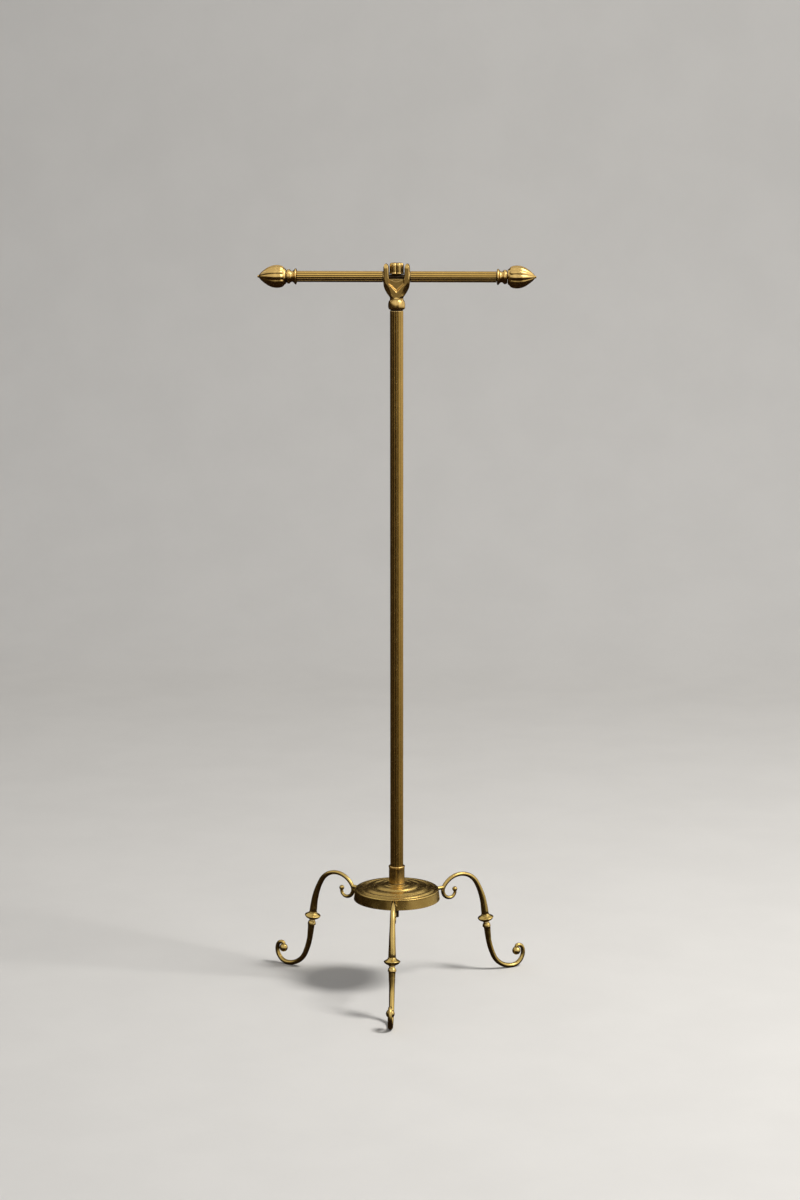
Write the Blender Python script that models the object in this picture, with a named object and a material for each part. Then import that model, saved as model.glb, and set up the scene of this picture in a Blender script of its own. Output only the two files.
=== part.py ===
"""Free-standing brass banner stand: scroll tripod, turned disc, reeded column, yoke and crossbar.

Frame: origin on the floor at the middle of the stand's outline, +Z up, crossbar along X, front leg
towards -Y. The column's axis stands at Y = AXIS_Y, because one leg points forward and two point back.
Lengths are in metres. Pieces that touch on the real stand keep GAP between them.
"""

import math

import bmesh
import bpy
from mathutils import Vector

GAP = 0.0003
TAU = 2 * math.pi
INCH = 0.0254

# Driving dimensions
AXIS_Y = 0.054
BAR_HEIGHT = 1.048
BAR_HALF_LENGTH = 0.1983
COLUMN_RADIUS = 0.75 * INCH / 2
BAR_RADIUS = 0.625 * INCH / 2
TUBE_WALL = 0.0012
COLUMN_REEDS = 16
BAR_REEDS = 14
REED_DEPTH = 0.0005

DISC_TOP = 0.1495
DISC_HEIGHT = 0.0155
DISC_DOME = 0.0085
DISC_TOP_RADIUS = 0.0620
DISC_BOTTOM_RADIUS = 0.0635
DISC_WALL = 0.003

COLLAR_RADIUS = 0.0118
COLLAR_HEIGHT = 0.0265
TIE_RADIUS = 0.0032
TIE_END = 0.106

KNOP_REACH = 0.1506
KNOP_HEIGHT = 0.0842
KNOP_RADIUS = 0.0120
KNOP_HALF = 0.0061
LEG_TILT = math.radians(8)
LEG_AZIMUTHS = {"front": -90, "right": 30, "left": 150}
SPIGOT_RADIUS = 0.0025
LUG_HEIGHT = 0.1405
LUG_RADIUS = 0.0045

EAR_OUTER = 0.0186
EAR_INNER = 0.0113
EAR_TOP = 0.0185
YOKE_HALF_DEPTH = 0.0090
SADDLE_HALF_DEPTH = 0.0030
FERRULE_BOTTOM = -0.0463
SOCKET_RADIUS = 0.0063
SOCKET_TOP = -0.0307
CORE_RADIUS = 0.0033
KNOB_RADIUS = 0.0109
KNOB_BOTTOM = 0.0037
KNOB_TOP = 0.0199
KNOB_LOBES = 6
KNOB_LOBE_RADIUS = 0.0041
KNOB_SIDES_PER_LOBE = 6
SHANK_RADIUS = 0.0020
BOSS_RADIUS = BAR_RADIUS - REED_DEPTH - TUBE_WALL - GAP
BOSS_LENGTH = 0.0040

COLLAR_INNER_FACE = 0.1422
FINIAL_COLLAR_LENGTH = 0.0150
BUD_LOBES = 12
BUD_RADIUS = 0.01635

COLUMN_BOTTOM = DISC_TOP + DISC_DOME + 2 * GAP + 0.002
COLUMN_TOP = BAR_HEIGHT + FERRULE_BOTTOM - 0.0017


def clear_scene():
    for obj in list(bpy.data.objects):
        bpy.data.objects.remove(obj)


def metal(name, colour, roughness):
    material = bpy.data.materials.new(name)
    material.use_nodes = True
    shader = material.node_tree.nodes["Principled BSDF"]
    shader.inputs["Base Color"].default_value = (*colour, 1)
    shader.inputs["Roughness"].default_value = roughness
    shader.inputs["Metallic"].default_value = 1
    return material


def add_object(name, mesh, material=None, parent=None, location=(0, 0, 0), rotation=(0, 0, 0)):
    obj = bpy.data.objects.new(name, mesh)
    bpy.context.scene.collection.objects.link(obj)
    if material and not mesh.materials:
        mesh.materials.append(material)
    obj.parent = parent
    obj.location = location
    obj.rotation_euler = rotation
    return obj


def add_empty(name, location=(0, 0, 0), rotation=(0, 0, 0), parent=None):
    return add_object(name, None, None, parent, location, rotation)


def to_mesh(bm, name, sharp_degrees=35):
    bmesh.ops.recalc_face_normals(bm, faces=bm.faces)
    mesh = bpy.data.meshes.new(name)
    bm.to_mesh(mesh)
    bm.free()
    mesh.shade_smooth()
    mesh.set_sharp_from_angle(angle=math.radians(sharp_degrees))
    return mesh


def turned(name, profile, steps=32, ring=False):
    """Solid of revolution about Z. profile holds (radius, height) points; ring joins its last to its first."""
    bm = bmesh.new()
    verts = [bm.verts.new((radius, 0, height)) for radius, height in profile]
    edges = [bm.edges.new(pair) for pair in zip(verts, verts[1:])]
    if ring:
        edges.append(bm.edges.new((verts[-1], verts[0])))
    bmesh.ops.spin(
        bm, geom=verts + edges, cent=(0, 0, 0), axis=(0, 0, 1), dvec=(0, 0, 0),
        angle=TAU, steps=steps, use_merge=True, use_duplicate=False,
    )
    bmesh.ops.remove_doubles(bm, verts=bm.verts, dist=1e-6)
    return to_mesh(bm, name)


def skinned(name, rings, looped=False, sharp_degrees=35):
    """Solid whose skin joins rings of equally many points; looped joins the last ring to the first."""
    bm = bmesh.new()
    made = [[bm.verts.new(point) for point in ring] for ring in rings]
    count = len(rings[0])
    for low, high in zip(made, made[1:] + made[:1] if looped else made[1:]):
        for i in range(count):
            j = (i + 1) % count
            bm.faces.new((low[i], low[j], high[j], high[i]))
    if not looped:
        bm.faces.new(made[0])
        bm.faces.new(made[-1])
    return to_mesh(bm, name, sharp_degrees)


def prism(name, outline, depth, along="Y"):
    """Outline in XZ (or YZ, with along X) extruded by depth to each side."""
    def place(u, v, w):
        return (u, w, v) if along == "Y" else (w, u, v)

    bm = bmesh.new()
    face = bm.faces.new([bm.verts.new(place(u, v, -depth)) for u, v in outline])
    grown = bmesh.ops.extrude_face_region(bm, geom=[face])["geom"]
    moved = [item for item in grown if isinstance(item, bmesh.types.BMVert)]
    bmesh.ops.translate(bm, verts=moved, vec=place(0, 0, 2 * depth))
    return to_mesh(bm, name)


def rod(name, radius, low, high, steps=24):
    return turned(name, [(0, high), (radius, high), (radius, low), (0, low)], steps)


def arc_points(centre, radius, first, last, count):
    """Points on an arc, with its angles in degrees."""
    angles = [math.radians(first + (last - first) * i / count) for i in range(count + 1)]
    return [(centre[0] + radius * math.cos(a), centre[1] + radius * math.sin(a)) for a in angles]


def helper(obj):
    obj.hide_render = True
    obj.display_type = "WIRE"
    return obj


def combine(target, other, operation):
    modifier = target.modifiers.new(other.name, "BOOLEAN")
    modifier.object = helper(other)
    modifier.operation = operation
    modifier.solver = "EXACT"


def baked_mesh(obj, helpers):
    """Mesh of obj with its modifiers applied. obj and the helpers are removed."""
    graph = bpy.context.evaluated_depsgraph_get()
    mesh = bpy.data.meshes.new_from_object(obj.evaluated_get(graph))
    for used in [obj, *helpers]:
        bpy.data.objects.remove(used)
    return mesh


def interpolate(keys, at):
    """Value at a place along keys, a list of (place, value), eased between neighbours."""
    if at <= keys[0][0]:
        return keys[0][1]
    for (start, first), (end, last) in zip(keys, keys[1:]):
        if at <= end:
            share = (at - start) / (end - start)
            return first + (last - first) * share * share * (3 - 2 * share)
    return keys[-1][1]


# ---- Reeded tubes and lobed turnings


def reeded_radius(radius, reeds, angle):
    return radius - REED_DEPTH * (1 - abs(math.cos(reeds * angle / 2)))


def reeded_tube(name, radius, reeds, low, high, sides_per_reed=4):
    count = reeds * sides_per_reed
    angles = [TAU * i / count for i in range(count)]

    def ring(height, radius_at):
        return [(radius_at(a) * math.cos(a), radius_at(a) * math.sin(a), height) for a in angles]

    def outside(angle):
        return reeded_radius(radius, reeds, angle)

    def inside(angle):
        return radius - REED_DEPTH - TUBE_WALL

    rings = [ring(low, outside), ring(high, outside), ring(high, inside), ring(low, inside)]
    return skinned(name, rings, looped=True, sharp_degrees=50)


def lobed_rings(stations, lobes, phase, sides_per_lobe=4):
    """Rings for (radius, height, depth) stations, where depth is how far the valleys between lobes sink."""
    count = lobes * sides_per_lobe
    rings = []
    for radius, height, depth in stations:
        ring = []
        for i in range(count):
            angle = TAU * i / count + phase
            valley = 1 - abs(math.cos(lobes * (angle - phase) / 2))
            reach = radius - depth * valley
            ring.append((reach * math.cos(angle), reach * math.sin(angle), height))
        rings.append(ring)
    return rings


# ---- Scroll legs: arcs in the leg's own plane, X away from the column


def chain(start, heading, pieces, step=math.radians(22)):
    """Samples (x, z, heading, travelled) along straights and left-hand arcs.

    A piece is (length,) for a straight or (radius, turn in degrees) for an arc.
    """
    x, z = start
    travelled = 0.0
    samples = [(x, z, heading, travelled)]
    for piece in pieces:
        if len(piece) == 1:
            x += piece[0] * math.cos(heading)
            z += piece[0] * math.sin(heading)
            travelled += piece[0]
            samples.append((x, z, heading, travelled))
            continue
        radius, turn = piece[0], math.radians(piece[1])
        centre_x = x - radius * math.sin(heading)
        centre_z = z + radius * math.cos(heading)
        count = max(2, round(turn / step))
        for i in range(1, count + 1):
            now = heading + turn * i / count
            x = centre_x + radius * math.sin(now)
            z = centre_z - radius * math.cos(now)
            samples.append((x, z, now, travelled + radius * turn * i / count))
        heading += turn
        travelled += radius * turn
    return samples


def leg_ring(x, z, heading, radius, sides=10):
    across = Vector((-math.sin(heading), 0, math.cos(heading)))
    side = Vector((0, 1, 0))
    ring = []
    for i in range(sides):
        angle = TAU * (i + 0.5) / sides
        ring.append(Vector((x, 0, z)) + radius * (math.cos(angle) * across + math.sin(angle) * side))
    return ring


def ball_rings(sample, rod_radius, ball_radius, count=5):
    """Rings of a ball that swallows the end of a rod."""
    x, z, heading, _ = sample
    first = math.asin(rod_radius / ball_radius)
    rings = []
    for i in range(1, count + 1):
        angle = first + (math.radians(172) - first) * i / count
        along = ball_radius * (math.cos(first) - math.cos(angle))
        centre = (x + along * math.cos(heading), z + along * math.sin(heading))
        rings.append(leg_ring(*centre, heading, ball_radius * math.sin(angle)))
    return rings


def arm_mesh(material):
    """Upper scroll, from the spigot through the knop up over the arch to the small ball, with its lug."""
    reach = KNOP_HALF + GAP
    spigot = 0.0145
    up = math.pi / 2 + LEG_TILT
    start = (KNOP_REACH - spigot * math.cos(up), KNOP_HEIGHT - spigot * math.sin(up))
    ball_radius = 0.0038
    pieces = [(spigot + reach,), (0.0055,), (0.0060,), (0.110, 22), (0.032, 120), (0.012, 120), (0.0085, 95)]
    samples = chain(start, up, pieces)
    shoulder = spigot + reach
    last = samples[-1][3]
    keys = [
        (shoulder, 0.0055), (shoulder + 0.0055, 0.0054), (shoulder + 0.020, 0.0048),
        (shoulder + 0.050, 0.0039), (shoulder + 0.085, 0.0031), (last - 0.030, 0.0029), (last, 0.0023),
    ]
    rings = [leg_ring(*samples[0][:3], SPIGOT_RADIUS), leg_ring(*samples[1][:3], SPIGOT_RADIUS)]
    rings += [leg_ring(x, z, heading, interpolate(keys, at)) for x, z, heading, at in samples[1:]]
    rings += ball_rings(samples[-1], keys[-1][1], ball_radius)
    arm = add_object("arm_form", skinned("leg_arm", rings), material)

    lug_start = DISC_BOTTOM_RADIUS + GAP
    along_x = (0, math.pi / 2, 0)
    place = (0, 0, LUG_HEIGHT)
    lug = add_object("lug_form", rod("lug", LUG_RADIUS, lug_start, 0.0790, 12), None, None, place, along_x)
    bore_radius = SHANK_RADIUS + GAP
    bore = add_object("lug_bore", rod("lug_bore", bore_radius, 0.050, 0.0745, 12), None, None, place, along_x)
    combine(arm, lug, "UNION")
    combine(arm, bore, "DIFFERENCE")
    return baked_mesh(arm, [lug, bore])


def foot_mesh(material):
    """Lower scroll, from the blind bore under the knop to the ball, with a small flat where it stands."""
    down = -math.pi / 2 + LEG_TILT
    rod_radius = 0.0035
    bottom = rod_radius - 0.0004
    first_turn, second_turn = 17, 65
    long_radius, short_radius = 0.1187, 0.0361
    middle = down + math.radians(first_turn)
    drop = long_radius * (math.cos(middle) - math.cos(down)) + short_radius * (1 - math.cos(middle))
    straight = (KNOP_HEIGHT - bottom - drop) / math.sin(-down)
    top = KNOP_HALF + GAP
    start = (KNOP_REACH + top * math.cos(down), KNOP_HEIGHT + top * math.sin(down))
    lengths = [0.0022, 0.0012, 0.0018, 0.0022, 0.0008, 0.0035]
    pieces = [(length,) for length in lengths] + [(straight - top - sum(lengths),)]
    pieces += [(long_radius, first_turn), (short_radius, second_turn)]
    pieces += [(0.0192, 108), (0.0080, 72), (0.0030, 90)]
    samples = chain(start, down, pieces)
    radii = [0.0043, 0.0043, 0.0052, 0.0058, 0.0061, 0.0051, 0.0047]
    keys = list(zip([sample[3] for sample in samples], radii))
    flat_at = straight - top + long_radius * math.radians(first_turn) + short_radius * math.radians(second_turn)
    keys += [(0.030, 0.0040), (flat_at, rod_radius), (samples[-1][3], 0.0030)]
    bore_radius = SPIGOT_RADIUS + GAP
    depth = 0.0088
    inner = (start[0] + depth * math.cos(down), start[1] + depth * math.sin(down), down)
    rings = [leg_ring(*inner, bore_radius), leg_ring(*start, down, bore_radius)]
    rings += [leg_ring(x, z, heading, interpolate(keys, at)) for x, z, heading, at in samples]
    rings += ball_rings(samples[-1], keys[-1][1], 0.0063)
    foot = add_object("foot_form", skinned("leg_foot", rings), material)
    below = add_object("floor_form", prism("floor", [(0.1, -0.02), (0.3, -0.02), (0.3, 0), (0.1, 0)], 0.02))
    combine(foot, below, "DIFFERENCE")
    return baked_mesh(foot, [below])


def knop_mesh():
    bore = SPIGOT_RADIUS + GAP
    half = KNOP_HALF
    upper = [(bore, half), (0.0058, half), (0.0068, 0.0046), (0.0072, 0.0034), (0.0100, 0.0020)]
    rim = [(KNOP_RADIUS, 0.0008), (KNOP_RADIUS, -0.0004)]
    lower = [(0.0104, -0.0020), (0.0072, -0.0042), (0.0050, -half), (bore, -half)]
    return turned("leg_knop", upper + rim + lower, 24, ring=True)


def leg_screw_mesh():
    """Pan-head screw along Z, its head's underside at the skirt's inner wall."""
    seat = DISC_TOP_RADIUS - DISC_WALL - 2 * GAP
    end = 0.0738
    head = [(0, seat - 0.0024), (0.0022, seat - 0.0023), (0.0034, seat - 0.0014), (0.0036, seat)]
    return turned("leg_screw", (head + [(SHANK_RADIUS, seat), (SHANK_RADIUS, end), (0, end)])[::-1], 12)


def build_legs(brass, steel, stand):
    arm = arm_mesh(brass)
    foot = foot_mesh(brass)
    knop = knop_mesh()
    screw = leg_screw_mesh()
    for side, azimuth in LEG_AZIMUTHS.items():
        leg = add_empty(f"leg_{side}", rotation=(0, 0, math.radians(azimuth)), parent=stand)
        add_object(f"leg_arm_{side}", arm, brass, leg)
        add_object(f"leg_foot_{side}", foot, brass, leg)
        tilt = (0, -LEG_TILT, 0)
        add_object(f"leg_knop_{side}", knop, brass, leg, (KNOP_REACH, 0, KNOP_HEIGHT), tilt)
        add_object(f"leg_screw_{side}", screw, steel, leg, (0, 0, LUG_HEIGHT), (0, math.pi / 2, 0))


# ---- Base


def disc_profile():
    """Closed section of the disc: domed top with turned grooves, skirt, and the hollow below."""
    top, bottom = DISC_TOP, DISC_TOP - DISC_HEIGHT
    hole = TIE_RADIUS + GAP
    crown = [
        (hole, DISC_DOME), (0.0140, DISC_DOME), (0.0147, 0.0079), (0.0240, 0.0067), (0.0318, 0.0050),
        (0.0330, 0.0038), (0.0450, 0.0021), (0.0462, 0.0011), (0.0553, 0.0003), (0.0563, -0.0005),
        (0.0588, 0.0), (0.0602, 0.0), (0.0613, -0.0005),
    ]
    outer = [(radius, top + height) for radius, height in crown]
    skirt = [(DISC_TOP_RADIUS, top - 0.0014), (DISC_BOTTOM_RADIUS, bottom), (DISC_BOTTOM_RADIUS - 0.003, bottom)]
    ceiling = [
        (DISC_TOP_RADIUS - DISC_WALL, top - 0.0035), (0.0450, top - 0.0014),
        (0.0260, top + 0.0028), (0.0125, top + DISC_DOME - 0.0038), (hole, top + DISC_DOME - 0.0038),
    ]
    return outer + skirt + ceiling


def build_disc(brass, stand):
    disc = add_object("base_disc", turned("base_disc", disc_profile(), 40, ring=True), brass, stand)
    for side, azimuth in LEG_AZIMUTHS.items():
        turn = (0, math.pi / 2, math.radians(azimuth))
        hole = rod(f"skirt_hole_{side}", SHANK_RADIUS + GAP, 0.050, 0.080, 12)
        cutter = add_object(f"skirt_hole_{side}", hole, None, stand, (0, 0, LUG_HEIGHT), turn)
        combine(disc, cutter, "DIFFERENCE")


def build_base(brass, steel, stand):
    build_disc(brass, stand)
    floor = DISC_TOP + DISC_DOME + GAP
    top = floor + COLLAR_HEIGHT
    bore = COLUMN_RADIUS + GAP
    hole = TIE_RADIUS + GAP
    collar = [
        (COLLAR_RADIUS, floor), (hole, floor), (hole, floor + 0.002), (bore, floor + 0.002),
        (bore, top), (bore + 0.0006, top), (COLLAR_RADIUS + 0.0003, top - 0.0008),
        (COLLAR_RADIUS + 0.0003, top - 0.0018), (COLLAR_RADIUS, top - 0.0025),
    ]
    add_object("base_collar", turned("base_collar", collar, 32, ring=True), brass, stand)

    plug_radius = COLUMN_RADIUS - REED_DEPTH - TUBE_WALL - GAP
    plug_low, plug_high = COLUMN_BOTTOM + 0.003, COLUMN_BOTTOM + 0.028
    plug = [(plug_radius, plug_low), (hole, plug_low), (hole, plug_high), (plug_radius, plug_high)]
    add_object("column_foot_plug", turned("column_foot_plug", plug, 24, ring=True), steel, stand)

    rod_form = [
        (0, plug_high - 0.003), (TIE_RADIUS, plug_high - 0.003), (TIE_RADIUS, TIE_END + 0.0006),
        (TIE_RADIUS - 0.0006, TIE_END), (0, TIE_END),
    ]
    add_object("tie_rod", turned("tie_rod", rod_form, 16), steel, stand)

    ceiling = DISC_TOP + DISC_DOME - 0.0038
    high, low = ceiling - GAP, ceiling - GAP - 0.0011
    washer = [(0.0085, low), (hole, low), (hole, high), (0.0085, high)]
    add_object("tie_washer", turned("tie_washer", washer, 20, ring=True), steel, stand)
    high, low = low - GAP, low - GAP - 0.0056
    hexagon = 0.0127 / 2 / math.cos(math.pi / 6)
    nut = [(hexagon, low), (hole, low), (hole, high), (hexagon, high)]
    add_object("tie_nut", hex_nut("tie_nut", nut), steel, stand)


def hex_nut(name, profile):
    """Nut with a round bore, both sampled every 15 degrees, and flats on the outside."""
    count = 24

    def reach(radius, angle):
        if radius < 0.005:
            return radius
        within = (angle + math.pi / 6) % (math.pi / 3) - math.pi / 6
        return radius * math.cos(math.pi / 6) / math.cos(within)

    rings = []
    for radius, height in profile:
        angles = [TAU * i / count for i in range(count)]
        ring = [(reach(radius, a) * math.cos(a), reach(radius, a) * math.sin(a), height) for a in angles]
        rings.append(ring)
    return skinned(name, rings, looped=True)


# ---- Column


def build_column(brass, steel, stand):
    tube = reeded_tube("column_tube", COLUMN_RADIUS, COLUMN_REEDS, COLUMN_BOTTOM, COLUMN_TOP)
    add_object("column_tube", tube, brass, stand)
    inside = COLUMN_RADIUS - REED_DEPTH - TUBE_WALL - GAP
    flange_low = COLUMN_TOP + GAP
    flange_high = BAR_HEIGHT + FERRULE_BOTTOM - GAP
    spigot_top = BAR_HEIGHT + SOCKET_TOP - 0.0010
    bore = SHANK_RADIUS + GAP
    profile = [
        (0, COLUMN_TOP - 0.0220), (bore, COLUMN_TOP - 0.0220), (bore, spigot_top),
        (SOCKET_RADIUS - GAP, spigot_top), (SOCKET_RADIUS - GAP, flange_high), (0.0090, flange_high),
        (0.0090, flange_low), (inside, flange_low), (inside, COLUMN_TOP - 0.0250), (0, COLUMN_TOP - 0.0250),
    ]
    add_object("column_top_plug", turned("column_top_plug", profile, 24), steel, stand)


# ---- Yoke


def mirrored(half):
    """Closed outline from its right half, which runs from the bottom up and ends on the centre line."""
    return half + [(-x, z) for x, z in reversed(half) if x > GAP]


def yoke_outline():
    """Front outline: neck, flaring arms, ears with rounded tops, and the trough between the ears."""
    arm = [(0.0093, -0.0320), (0.0096, -0.0296), (0.0131, -0.0242), (0.0164, -0.0185), (0.0183, -0.0125)]
    ear = [(EAR_OUTER, -0.0090), (EAR_OUTER, 0.0140), (0.0177, 0.0170), (0.0156, EAR_TOP), (0.0134, 0.0177)]
    inner = [(EAR_INNER, 0.0150), (EAR_INNER, 0.0010)]
    trough = arc_points((0, 0.0085), 0.0150, -47, -90, 5)
    return mirrored(arm + ear + inner + trough)


def yoke_envelope():
    """Turned form that rounds the neck and the backs of the arms."""
    return [
        (0, 0.030), (0.030, 0.030), (0.030, -0.004), (0.0205, -0.010), (0.0172, -0.0185),
        (0.0136, -0.0242), (0.0100, -0.0296), (0.0094, -0.0320), (0.0094, -0.0330), (0, -0.0330),
    ]


def ferrule_profile():
    return [
        (0, -0.0290), (0.0088, -0.0290), (0.0091, -0.0308), (0.0102, -0.0326), (0.0115, -0.0352), (0.0121, -0.0382),
        (0.0122, -0.0410), (0.0119, -0.0440), (0.0112, FERRULE_BOTTOM), (0, FERRULE_BOTTOM),
    ]


def ear_side_outline():
    """Side view of the yoke: straight flanks and a rounded top."""
    depth, radius = YOKE_HALF_DEPTH, 0.0070
    corner = arc_points((depth - radius, EAR_TOP + 0.0007 - radius), radius, 0, 90, 5)
    half = [(depth + 0.0006, -0.0340), (depth, -0.0100)] + corner
    return half + [(-y, z) for y, z in reversed(half)]


def build_yoke(brass, parent):
    body = add_object("yoke", prism("yoke", yoke_outline(), YOKE_HALF_DEPTH + 0.001), brass, parent)
    envelope = add_object("yoke_envelope", turned("envelope", yoke_envelope(), 24), None, parent)
    combine(body, envelope, "INTERSECT")
    side = prism("side", ear_side_outline(), 0.030, "X")
    combine(body, add_object("yoke_side_form", side, None, parent), "INTERSECT")
    ferrule = add_object("ferrule_form", turned("ferrule", ferrule_profile(), 28), None, parent)
    combine(body, ferrule, "UNION")

    boss = rod("boss", BOSS_RADIUS, 0.0150, EAR_OUTER + BOSS_LENGTH, 16)
    for side_name, turn in (("right", math.pi / 2), ("left", -math.pi / 2)):
        form = add_object(f"boss_form_{side_name}", boss, None, parent, (0, 0, 0), (0, turn, 0))
        combine(body, form, "UNION")

    panel = [(0.0107, 0.0030), (0.0107, -0.0092), (0, -0.0193), (-0.0107, -0.0092), (-0.0107, 0.0030)]
    for side_name, place in (("front", -0.0110), ("back", 0.0110)):
        recess = prism(f"recess_{side_name}", panel, 0.0050)
        combine(body, add_object(f"recess_{side_name}", recess, None, parent, (0, place, 0)), "DIFFERENCE")

    half, low, high = EAR_INNER + 0.0006, -0.0100, -0.0030
    saddle = prism("saddle", [(half, low), (half, high), (-half, high), (-half, low)], SADDLE_HALF_DEPTH)
    combine(body, add_object("saddle_form", saddle, None, parent), "UNION")

    rod_bore = rod("rod_bore", CORE_RADIUS + GAP, -0.030, 0.030, 16)
    across = add_object("rod_bore", rod_bore, None, parent, (0, 0, 0), (0, math.pi / 2, 0))
    combine(body, across, "DIFFERENCE")
    upright = [
        (0, 0.002), (SHANK_RADIUS + GAP, 0.002), (SHANK_RADIUS + GAP, SOCKET_TOP),
        (SOCKET_RADIUS, SOCKET_TOP), (SOCKET_RADIUS, -0.0500), (0, -0.0500),
    ]
    combine(body, add_object("upright_bore", turned("upright_bore", upright, 24), None, parent), "DIFFERENCE")


# ---- Thumb screw


def knob_ring(scale, height):
    """Section of the knob: round lobes on a circle, with a valley towards the front between two of them."""
    lobe_centre = KNOB_RADIUS - KNOB_LOBE_RADIUS
    count = KNOB_LOBES * KNOB_SIDES_PER_LOBE
    ring = []
    for i in range(count):
        angle = TAU * i / count
        off = (angle + math.pi / KNOB_LOBES) % (TAU / KNOB_LOBES) - math.pi / KNOB_LOBES
        reach = lobe_centre * math.cos(off) + math.sqrt(KNOB_LOBE_RADIUS**2 - (lobe_centre * math.sin(off)) ** 2)
        ring.append((scale * reach * math.cos(angle), scale * reach * math.sin(angle), height))
    return ring


def round_ring(radius, height, count):
    angles = [TAU * i / count for i in range(count)]
    return [(radius * math.cos(a), radius * math.sin(a), height) for a in angles]


def build_thumb_screw(brass, steel, washer_parent, screw_parent):
    count = KNOB_LOBES * KNOB_SIDES_PER_LOBE
    recess_top = 0.0053
    low = COLUMN_TOP - 0.0195 - BAR_HEIGHT
    rings = [round_ring(SHANK_RADIUS, low, count), round_ring(SHANK_RADIUS, recess_top, count)]
    rings += [round_ring(0.0068, recess_top, count), round_ring(0.0068, KNOB_BOTTOM, count)]
    dome = [
        (0.93, KNOB_BOTTOM), (1.0, KNOB_BOTTOM + 0.0014), (1.0, 0.0130), (0.97, 0.0150),
        (0.86, 0.0172), (0.60, 0.0190), (0.20, KNOB_TOP),
    ]
    rings += [knob_ring(scale, height) for scale, height in dome]
    add_object("thumb_screw", skinned("thumb_screw", rings, sharp_degrees=50), brass, screw_parent)
    bore = SHANK_RADIUS + GAP
    high, down = recess_top - GAP, CORE_RADIUS + GAP
    washer = [(0.0062, down), (bore, down), (bore, high), (0.0062, high)]
    add_object("thumb_washer", turned("thumb_washer", washer, 16, ring=True), steel, washer_parent)


# ---- Crossbar


def build_core_rod(steel, parent):
    half = COLLAR_INNER_FACE + FINIAL_COLLAR_LENGTH + 0.0150
    rod_form = rod("core_rod", CORE_RADIUS, -half, half, 16)
    core = add_object("core_rod", rod_form, steel, parent, (0, 0, 0), (0, math.pi / 2, 0))
    hole = rod("cross_hole", SHANK_RADIUS + GAP, -0.010, 0.010, 12)
    combine(core, add_object("cross_hole", hole, None, parent), "DIFFERENCE")


def finial_collar_mesh():
    """Spigot inside the tube, flange, waist and ring. Z points away from the column, 0 at the inner face."""
    bore = CORE_RADIUS + GAP
    spigot = BAR_RADIUS - REED_DEPTH - TUBE_WALL - GAP
    end = FINIAL_COLLAR_LENGTH
    profile = [
        (bore, -0.0040), (spigot, -0.0040), (spigot, 0), (0.0104, 0), (0.0115, 0.0010), (0.0113, 0.0028),
        (0.0090, 0.0050), (0.0083, 0.0070), (0.0095, 0.0094), (0.0108, 0.0112), (0.0108, 0.0130),
        (0.0094, end), (bore, end),
    ]
    return turned("finial_collar", profile, 24, ring=True)


def bud_mesh():
    """Gadrooned bud on a blind bore. Z points away from the column, 0 at its base."""
    bore = CORE_RADIUS + GAP
    length = BAR_HALF_LENGTH - COLLAR_INNER_FACE - FINIAL_COLLAR_LENGTH - GAP
    body = [
        (0.0108, 0, 0.0002), (0.0146, 0.0030, 0.0012), (0.0160, 0.0075, 0.0019), (BUD_RADIUS, 0.0125, 0.0021),
        (0.0154, 0.0195, 0.0019), (0.0128, 0.0262, 0.0014), (0.0086, 0.0324, 0.0008), (0.0040, 0.0373, 0.0002),
        (0.0021, 0.0390, 0), (0.0012, length, 0),
    ]
    hollow = [(bore, 0.0158, 0), (bore, 0, 0)]
    return skinned("finial_bud", lobed_rings(hollow + body, BUD_LOBES, 0), sharp_degrees=45)


def build_crossbar(brass, steel, head, slides, turns):
    build_core_rod(steel, head)
    near = EAR_OUTER + 0.0013
    far = COLLAR_INNER_FACE - GAP
    tube = reeded_tube("bar_tube", BAR_RADIUS, BAR_REEDS, near, far)
    collar = finial_collar_mesh()
    bud = bud_mesh()
    for side, sign in (("right", 1), ("left", -1)):
        facing = (0, sign * math.pi / 2, 0)
        add_object(f"bar_tube_{side}", tube, brass, head, (0, 0, 0), facing)
        add_object(f"finial_collar_{side}", collar, brass, slides[side], (0, 0, 0), facing)
        add_object(f"finial_bud_{side}", bud, brass, turns[side], (0, 0, 0), facing)


def build_head(brass, steel, stand):
    """Everything above the column, on empties that sit on the joint axes."""
    head = add_empty("head_swivel", (0, 0, BAR_HEIGHT), parent=stand)
    build_yoke(brass, head)
    lift = add_empty("thumb_lift", parent=head)
    turn = add_empty("thumb_turn", parent=lift)
    build_thumb_screw(brass, steel, lift, turn)
    slides, turns = {}, {}
    for side, sign in (("right", 1), ("left", -1)):
        slides[side] = add_empty(f"finial_slide_{side}", (sign * COLLAR_INNER_FACE, 0, 0), parent=head)
        base = sign * (FINIAL_COLLAR_LENGTH + GAP)
        turns[side] = add_empty(f"finial_turn_{side}", (base, 0, 0), parent=slides[side])
    build_crossbar(brass, steel, head, slides, turns)


def main():
    clear_scene()
    brass = metal("antique_brass", (0.50, 0.36, 0.13), 0.28)
    steel = metal("dark_steel", (0.10, 0.09, 0.08), 0.45)
    stand = add_empty("stand_axis", (0, AXIS_Y, 0))
    build_base(brass, steel, stand)
    build_legs(brass, steel, stand)
    build_column(brass, steel, stand)
    build_head(brass, steel, stand)


main()
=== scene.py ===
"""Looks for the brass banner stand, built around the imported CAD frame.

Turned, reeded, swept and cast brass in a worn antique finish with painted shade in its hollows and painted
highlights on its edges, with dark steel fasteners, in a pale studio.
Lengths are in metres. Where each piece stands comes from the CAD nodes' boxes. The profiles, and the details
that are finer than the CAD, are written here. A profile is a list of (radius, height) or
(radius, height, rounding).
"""

import math

import bmesh
import bpy
from mathutils import Matrix, Vector


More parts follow.
